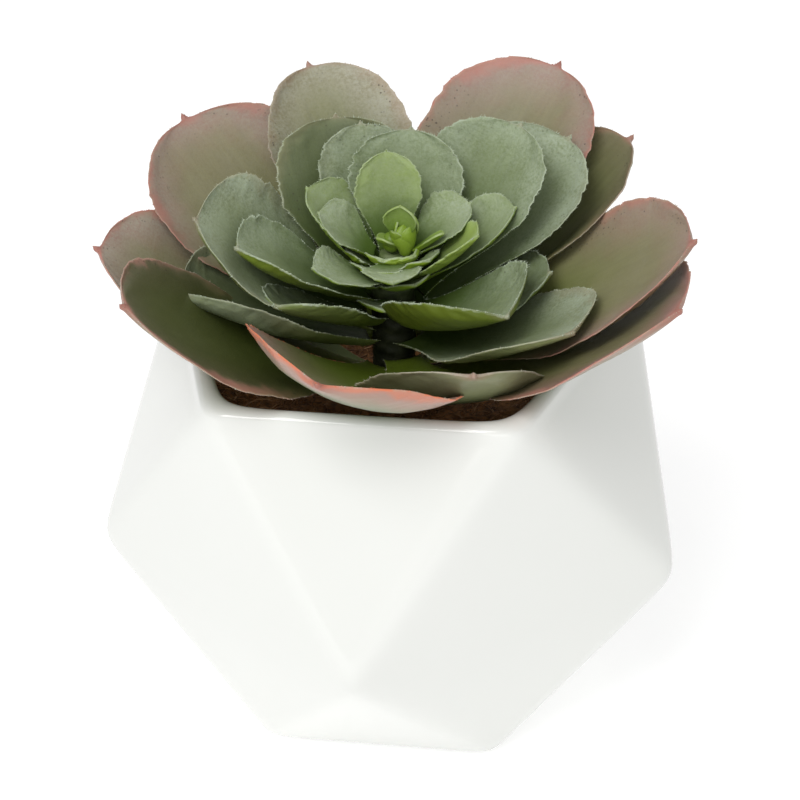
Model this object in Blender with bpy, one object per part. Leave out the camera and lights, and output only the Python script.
"""A rosette succulent in a five-sided faceted glazed pot, modelled in metres with +Z up.

The pot stands on z = 0 with its axis on Z. A ridge of its widest ring faces -Y.
The leaves grow round one short stem that stands in a hole in the potting mix.
"""

import math
import random

import bmesh
import bpy
import numpy as np
from mathutils import Vector

MM = 0.001

# Pot: two rings of facets between three pentagons, each turned half a side from the next
POT_HEIGHT = 76.0
POT_WAIST_HEIGHT = 35.0
POT_WAIST_RADIUS = 55.5
POT_RIM_RADIUS = 44.5
POT_BASE_RADIUS = 35.5
POT_RIDGE_BEVEL = 2.2
POT_WALL = 4.0
POT_FLOOR = 6.0
CORNER_BEVEL = 2.6

# Potting mix: a shallow dish round the stem, with a lumpy top
MIX_GAP = 0.7
MIX_MIDDLE_HEIGHT = 60.5
MIX_EDGE_HEIGHT = 69.0
MIX_EDGE_RADIUS = 38.0
MIX_LUMP = 0.6
MIX_SEED = 11
MIX_SPOKES = 32
HOLE_RADIUS = 4.3
HOLE_DEPTH = 45.0

# Stem
STEM_FOOT = 45.3
STEM_SHOULDER = 81.5
STEM_NECK = 82.5
STEM_TOP = 87.5
STEM_RADIUS = 4.0
STEM_NECK_RADIUS = 2.8
STEM_TOP_RADIUS = 2.4
STEM_SIDES = 24

# Leaf blades
SEAT_GAP = 0.3
RIM_THICKNESS = 0.62
LEAF_STATIONS = (0.0, 0.10, 0.22, 0.34, 0.46, 0.58, 0.70, 0.81, 0.90, 0.96, 1.0)
LEAF_COLUMNS = 6
BLADE_THICKNESS = {"outer": 2.1, "middle": 1.7, "inner": 1.3}
FOOT_SHARE = {"outer": 0.22, "middle": 0.30, "inner": 0.34}
WIDEST = 0.62
BLADE_END = 0.97
POINT_SHARE = 0.07

# Each leaf: name, azimuth, rise and curl along its length, length, width, sway, twist, cup, root height
LEAVES = (
    ("outer_leaf_1", 192, 28, 10, 57, 32, 4, 12, 30, 62.3),
    ("outer_leaf_2", 222, 26, 16, 60, 31, 5, 15, 16, 65.2),
    ("outer_leaf_3", 159, 33, 12, 55, 33, -14, 14, 34, 68.5),
    ("outer_leaf_4", 117, 43, 5, 48, 26, 10, 6, 38, 73.9),
    ("outer_leaf_5", 57, 39, 6, 56, 32, -4, -14, 34, 71.7),
    ("outer_leaf_6", 31, 31, 12, 54, 27, 0, -4, 36, 69.0),
    ("outer_leaf_7", 349.5, 24, 20.5, 62, 30.5, -11, -17, 26, 66.6),
    ("outer_leaf_8", 338, 22, 18, 64, 36, -14, -11, 18, 64.2),
    ("outer_leaf_9", 265.5, 15.5, 26.5, 57, 36.5, 1, 17, 26, 67.5),
    ("outer_leaf_10", 294.5, 10, 32, 45, 29, 1, 9, 20, 70.05),
    ("middle_leaf_1", 199.5, 32, 16, 40, 32, 4, 18.5, 34, 74.4),
    ("middle_leaf_2", 203, 25, 12, 36, 25, -2, 6, 38, 72.0),
    ("middle_leaf_3", 132, 51, 5, 35, 26, -26, 0, 36, 76.6),
    ("middle_leaf_4", 116, 52, 8, 30, 18, -8, 0, 36, 79.6),
    ("middle_leaf_5", 88, 58, 10, 26, 19, 6, -6, 36, 81.9),
    ("middle_leaf_6", 34, 45, 10, 36, 26, 14, -10, 32, 78.9),
    ("middle_leaf_7", 32, 37, 4, 42, 29, 10, -10, 36, 75.6),
    ("middle_leaf_8", 352.5, 24, 12, 29, 18, 0, -10, 18, 73.75),
    ("middle_leaf_9", 306.5, 18, 12, 32, 27, 20, 6, 56, 77.1),
    ("middle_leaf_10", 325, 15, 19, 44, 29, -7, -4, 30, 71.8),
    ("middle_leaf_11", 214, 27, 12, 30, 23, -6, 3, 36, 79.8),
    ("middle_leaf_12", 240.2, 25, 14, 28, 16, -4, 0, 34, 76.72),
    ("inner_leaf_1", 172, 44, 6, 21, 15.5, 0, 0, 38, 83.2),
    ("inner_leaf_2", 103, 70, 8, 17, 10.5, 0, 0, 34, 86.0),
    ("inner_leaf_3", 182, 38, 8, 15.5, 13, -4, 6, 36, 87.0),
    ("inner_leaf_4", 25, 38, 5, 16, 14, 2, -4, 34, 86.8),
    ("inner_leaf_5", 8, 34, 10, 24, 15, 0, -8, 32, 82.0),
    ("inner_leaf_6", 246, 22, 7, 18, 12.5, -42, 8, 32, 84.1),
    ("inner_leaf_7", 278, 9, 4, 12.5, 10, 4, 0, 26, 87.1),
    ("inner_leaf_8", 336, 32, 18, 20, 12, 2, -10, 34, 83.5),
)

# Heart
HEART_FOOT = 87.8
HEART_CORE_RADIUS = 2.0
HEART_CORE_HEIGHT = 4.2
BUD_THICKNESS = 1.1
BUD_FOOT_SHARE = 0.4
BUD_CUP = 46

# Each bud leaf: azimuth, distance from the axis, height over the heart's foot, rise, curl, length, width
BUDS = (
    (60, 1.0, 1.8, 66, 36, 6.6, 5.0),
    (148, 0.9, 1.4, 58, 20, 5.4, 3.8),
    (205, 1.0, 1.2, 26, 10, 4.8, 3.2),
    (285, 0.7, 1.4, 62, 36, 4.6, 3.6),
    (15, 1.0, 1.2, 36, 8, 6.6, 3.0),
)


def clear_scene():
    for obj in list(bpy.data.objects):
        bpy.data.objects.remove(obj, do_unlink=True)


def material(name, colour, roughness, metallic=0.0):
    made = bpy.data.materials.new(name)
    made.use_nodes = True
    shader = made.node_tree.nodes["Principled BSDF"]
    shader.inputs["Base Color"].default_value = (*colour, 1.0)
    shader.inputs["Roughness"].default_value = roughness
    shader.inputs["Metallic"].default_value = metallic
    return made


def add_object(name, mesh, finish, smooth_angle=35.0):
    obj = bpy.data.objects.new(name, mesh)
    bpy.context.collection.objects.link(obj)
    if finish:
        mesh.materials.append(finish)
    mesh.shade_smooth()
    mesh.set_sharp_from_angle(angle=math.radians(smooth_angle))
    return obj


def make_cutter(obj):
    obj.hide_render = True
    obj.display_type = "WIRE"


def add_boolean(obj, other, operation, solver="EXACT"):
    cut = obj.modifiers.new(f"{operation.lower()} {other.name}", "BOOLEAN")
    cut.object = other
    cut.operation = operation
    cut.solver = solver


def mesh_from(name, points, faces):
    """A mesh from points in millimetres, with its faces turned outwards."""
    mesh = bpy.data.meshes.new(name)
    mesh.from_pydata([tuple(float(c) * MM for c in p) for p in points], [], faces)
    bm = bmesh.new()
    bm.from_mesh(mesh)
    bmesh.ops.recalc_face_normals(bm, faces=bm.faces)
    bm.to_mesh(mesh)
    bm.free()
    return mesh


# Pot and potting mix

def pentagon(radius, height, half_turned):
    start = -90.0 + (36.0 if half_turned else 0.0)
    return [
        Vector((radius * math.cos(a), radius * math.sin(a), height))
        for a in (math.radians(start + 72.0 * k) for k in range(5))
    ]


def faceted_body(name, base, waist, rim, bevel, plain_top=False):
    """A solid between three pentagons, each given as (radius, height), with its ridges rounded."""
    bm = bmesh.new()
    rings = [
        [bm.verts.new(p * MM) for p in pentagon(*base, True)],
        [bm.verts.new(p * MM) for p in pentagon(*waist, False)],
        [bm.verts.new(p * MM) for p in pentagon(*rim, True)],
    ]
    low, middle, top = rings
    for k in range(5):
        after = (k + 1) % 5
        bm.faces.new((middle[k], middle[after], top[k]))
        bm.faces.new((top[k], middle[after], top[after]))
        bm.faces.new((middle[after], middle[k], low[k]))
        bm.faces.new((low[after], middle[after], low[k]))
    bm.faces.new(low)
    lid = bm.faces.new(top)
    bmesh.ops.recalc_face_normals(bm, faces=bm.faces)
    ridges = [edge for edge in bm.edges if not (plain_top and lid in edge.link_faces)]
    bmesh.ops.bevel(
        bm, geom=ridges, offset=bevel * MM, offset_type="OFFSET",
        segments=3, profile=0.5, affect="EDGES", clamp_overlap=True,
    )
    mesh = bpy.data.meshes.new(name)
    bm.to_mesh(mesh)
    bm.free()
    return mesh


def cavity_mesh(name, inset):
    """The pot's inside, made smaller by inset, up to just over the rim."""
    wall = POT_WALL + inset
    return faceted_body(
        name,
        (POT_BASE_RADIUS - 0.6 * POT_WALL - inset, POT_FLOOR + inset),
        (POT_WAIST_RADIUS - 1.35 * wall, POT_WAIST_HEIGHT + 0.5),
        (POT_RIM_RADIUS - 1.2 * wall, POT_HEIGHT + 1.0),
        CORNER_BEVEL,
        plain_top=True,
    )


def make_pot(finish):
    body = faceted_body(
        "pot",
        (POT_BASE_RADIUS, 0.0),
        (POT_WAIST_RADIUS, POT_WAIST_HEIGHT),
        (POT_RIM_RADIUS, POT_HEIGHT),
        POT_RIDGE_BEVEL,
    )
    pot = add_object("pot", body, finish)
    cutter = add_object("pot_inside", cavity_mesh("pot_inside", 0.0), None)
    make_cutter(cutter)
    add_boolean(pot, cutter, "DIFFERENCE")


def mix_height(radius):
    return MIX_MIDDLE_HEIGHT + (MIX_EDGE_HEIGHT - MIX_MIDDLE_HEIGHT) * (radius / MIX_EDGE_RADIUS) ** 2


def lumpy_block():
    """A round block with a lumpy dished top and a plain hole for the stem."""
    lumps = random.Random(MIX_SEED)
    radii = (HOLE_RADIUS, 8.0, 12.0, 16.0, 20.0, 24.0, 28.0, 32.0, 36.0, 41.0, 60.0)
    turns = [2 * math.pi * k / MIX_SPOKES for k in range(MIX_SPOKES)]
    loops = [[(HOLE_RADIUS, HOLE_DEPTH)] * MIX_SPOKES]
    for radius in radii:
        lump = 0.0 if radius in (HOLE_RADIUS, radii[-1]) else MIX_LUMP
        height = mix_height(min(radius, MIX_EDGE_RADIUS))
        loops.append([(radius, height + lumps.uniform(-lump, lump)) for _ in turns])
    loops.append([(60.0, 0.0)] * MIX_SPOKES)
    points = [
        (r * math.cos(a), r * math.sin(a), z)
        for loop in loops
        for (r, z), a in zip(loop, turns)
    ]
    faces = [
        (i * MIX_SPOKES + j, i * MIX_SPOKES + (j + 1) % MIX_SPOKES,
         (i + 1) * MIX_SPOKES + (j + 1) % MIX_SPOKES, (i + 1) * MIX_SPOKES + j)
        for i in range(len(loops) - 1)
        for j in range(MIX_SPOKES)
    ]
    faces.append(tuple(range(MIX_SPOKES)))
    last = (len(loops) - 1) * MIX_SPOKES
    faces.append(tuple(range(last, last + MIX_SPOKES)))
    return mesh_from("mix_top", points, faces)


def make_potting_mix(finish):
    mix = add_object("potting_mix", cavity_mesh("potting_mix", MIX_GAP), finish, 60.0)
    top = add_object("mix_top", lumpy_block(), None)
    make_cutter(top)
    add_boolean(mix, top, "INTERSECT")


# Stem

def stem_radius(height):
    return float(np.interp(
        height,
        (STEM_SHOULDER, STEM_NECK, STEM_TOP),
        (STEM_RADIUS, STEM_NECK_RADIUS, STEM_TOP_RADIUS),
    ))


def make_stem(finish):
    heights = (STEM_FOOT, STEM_SHOULDER, STEM_NECK, STEM_TOP)
    points = [
        (stem_radius(z) * math.cos(a), stem_radius(z) * math.sin(a), z)
        for z in heights
        for a in (2 * math.pi * k / STEM_SIDES for k in range(STEM_SIDES))
    ]
    faces = [
        (i * STEM_SIDES + j, i * STEM_SIDES + (j + 1) % STEM_SIDES,
         (i + 1) * STEM_SIDES + (j + 1) % STEM_SIDES, (i + 1) * STEM_SIDES + j)
        for i in range(len(heights) - 1)
        for j in range(STEM_SIDES)
    ]
    last = (len(heights) - 1) * STEM_SIDES
    faces.append(tuple(range(STEM_SIDES)))
    faces.append(tuple(range(last, last + STEM_SIDES)))
    add_object("stem", mesh_from("stem", points, faces), finish)


# Leaves

def half_width(share, foot):
    """Half width at a share of the length, as a share of the widest: a foot, a round end, a point."""
    grow = np.clip(share / WIDEST, 0, 1)
    widening = foot + (1 - foot) * grow * grow * (3 - 2 * grow)
    fall = np.clip((share - WIDEST) / (BLADE_END - WIDEST), 0, 1)
    closing = np.sqrt(np.clip(1 - fall ** 2.4, 0, 1))
    blade = np.where(share < WIDEST, widening, closing)
    point = np.where(share > 0.86, POINT_SHARE * np.clip((1 - share) / 0.08, 0, 1), 0)
    return np.sqrt(blade ** 2 + point ** 2)


def blade_surfaces(root, azimuth, rise, curl, length, width, sway, twist, cup, thickness, foot):
    """Upper and lower grids of points of a cupped, curling and twisted blade, from foot to tip."""
    share = np.array(LEAF_STATIONS)
    fine = np.linspace(0, 1, 121)
    middle = (fine[1:] + fine[:-1]) / 2
    up = np.radians(rise + curl * middle)
    turn = np.radians(azimuth + sway * middle)
    steps = np.stack([np.cos(up) * np.cos(turn), np.cos(up) * np.sin(turn), np.sin(up)], 1)
    path = np.vstack([np.zeros(3), np.cumsum(steps * length / 120, 0)]) + np.array(root)
    spine = np.stack([np.interp(share, fine, path[:, axis]) for axis in range(3)], 1)

    up = np.radians(rise + curl * share)
    turn = np.radians(azimuth + sway * share)
    along = np.stack([np.cos(up) * np.cos(turn), np.cos(up) * np.sin(turn), np.sin(up)], 1)
    flat_side = np.stack([np.sin(turn), -np.cos(turn), np.zeros_like(turn)], 1)
    face = np.cross(flat_side, along)
    roll = (np.radians(twist) * np.minimum(1, 0.25 + share))[:, None]
    side = flat_side * np.cos(roll) + face * np.sin(roll)
    face = face * np.cos(roll) - flat_side * np.sin(roll)

    across = np.linspace(-1, 1, LEAF_COLUMNS + 1)[None, :, None]
    bend = math.radians(cup)
    reach = (half_width(share, foot) * width / 2)[:, None, None]
    side, face = side[:, None, :], face[:, None, :]
    sheet = spine[:, None, :] + reach / math.sin(bend) * (
        np.sin(bend * across) * side + (1 - np.cos(bend * across)) * face
    )
    outward = face * np.cos(bend * across) - side * np.sin(bend * across)
    plump = 0.4 + 0.6 * (1 - across ** 2)
    depth = np.maximum(thickness * plump * (1 - 0.4 * share[:, None, None] ** 2), RIM_THICKNESS)
    return sheet + 0.4 * depth * outward, sheet - 0.6 * depth * outward


def closed_blade(name, upper, lower):
    """One closed skin over both faces, with a flat foot and a pointed tip."""
    stations = upper.shape[0] - 1
    loops = [np.vstack([upper[i], lower[i][::-1]]) for i in range(stations)]
    tip_point = (upper[-1].mean(0) + lower[-1].mean(0)) / 2
    points = np.vstack(loops + [tip_point[None]])
    ring = len(loops[0])
    faces = [
        (i * ring + j, i * ring + (j + 1) % ring, (i + 1) * ring + (j + 1) % ring, (i + 1) * ring + j)
        for i in range(stations - 1)
        for j in range(ring)
    ]
    last = (stations - 1) * ring
    faces += [(last + j, last + (j + 1) % ring, stations * ring) for j in range(ring)]
    faces.append(tuple(range(ring)))
    return mesh_from(name, points, faces)


def make_leaf(row, finish):
    name, azimuth, rise, curl, length, width, sway, twist, cup, root_height = row
    thickness, foot = BLADE_THICKNESS[name.split("_")[0]], FOOT_SHARE[name.split("_")[0]]
    seat = stem_radius(root_height) + SEAT_GAP + 0.4 * thickness * math.sin(math.radians(rise))
    turn = math.radians(azimuth)
    root = (seat * math.cos(turn), seat * math.sin(turn), root_height)
    surfaces = blade_surfaces(root, azimuth, rise, curl, length, width, sway, twist, cup, thickness, foot)
    add_object(name, closed_blade(name, *surfaces), finish, 50.0)


def core_mesh():
    """The rounded middle of the heart, a lathed egg."""
    sides, steps = 16, 6
    points = []
    for i in range(1, steps):
        t = math.pi * i / steps
        radius = HEART_CORE_RADIUS * math.sin(t)
        height = HEART_FOOT + HEART_CORE_HEIGHT * (1 - math.cos(t)) / 2
        points += [
            (radius * math.cos(a), radius * math.sin(a), height)
            for a in (2 * math.pi * k / sides for k in range(sides))
        ]
    points += [(0.0, 0.0, HEART_FOOT), (0.0, 0.0, HEART_FOOT + HEART_CORE_HEIGHT)]
    faces = [
        (i * sides + j, i * sides + (j + 1) % sides, (i + 1) * sides + (j + 1) % sides, (i + 1) * sides + j)
        for i in range(steps - 2)
        for j in range(sides)
    ]
    foot, top = (steps - 1) * sides, (steps - 1) * sides + 1
    last = (steps - 2) * sides
    faces += [((j + 1) % sides, j, foot) for j in range(sides)]
    faces += [(last + j, last + (j + 1) % sides, top) for j in range(sides)]
    return mesh_from("heart", points, faces)


def make_heart(finish):
    """The core joined with its buds. EXACT drops the whole solid at the last bud, so these use MANIFOLD."""
    heart = add_object("heart", core_mesh(), finish, 50.0)
    for number, (azimuth, out, up, rise, curl, length, width) in enumerate(BUDS, 1):
        turn = math.radians(azimuth)
        root = (out * math.cos(turn), out * math.sin(turn), HEART_FOOT + up)
        shape = (azimuth, rise, curl, length, width, 0, 0, BUD_CUP, BUD_THICKNESS, BUD_FOOT_SHARE)
        surfaces = blade_surfaces(root, *shape)
        bud = add_object(f"bud_{number}", closed_blade(f"bud_{number}", *surfaces), None)
        make_cutter(bud)
        add_boolean(heart, bud, "UNION", "MANIFOLD")


def build():
    clear_scene()
    make_pot(material("white_glaze", (0.86, 0.86, 0.84), 0.12))
    make_potting_mix(material("potting_mix", (0.075, 0.04, 0.025), 0.9))
    make_stem(material("stem_skin", (0.14, 0.15, 0.06), 0.55))
    finishes = {
        "outer": material("outer_leaf", (0.24, 0.20, 0.16), 0.5),
        "middle": material("middle_leaf", (0.22, 0.30, 0.19), 0.5),
        "inner": material("inner_leaf", (0.26, 0.37, 0.20), 0.5),
    }
    for row in LEAVES:
        make_leaf(row, finishes[row[0].split("_")[0]])
    make_heart(material("heart_leaf", (0.30, 0.42, 0.08), 0.45))


build()
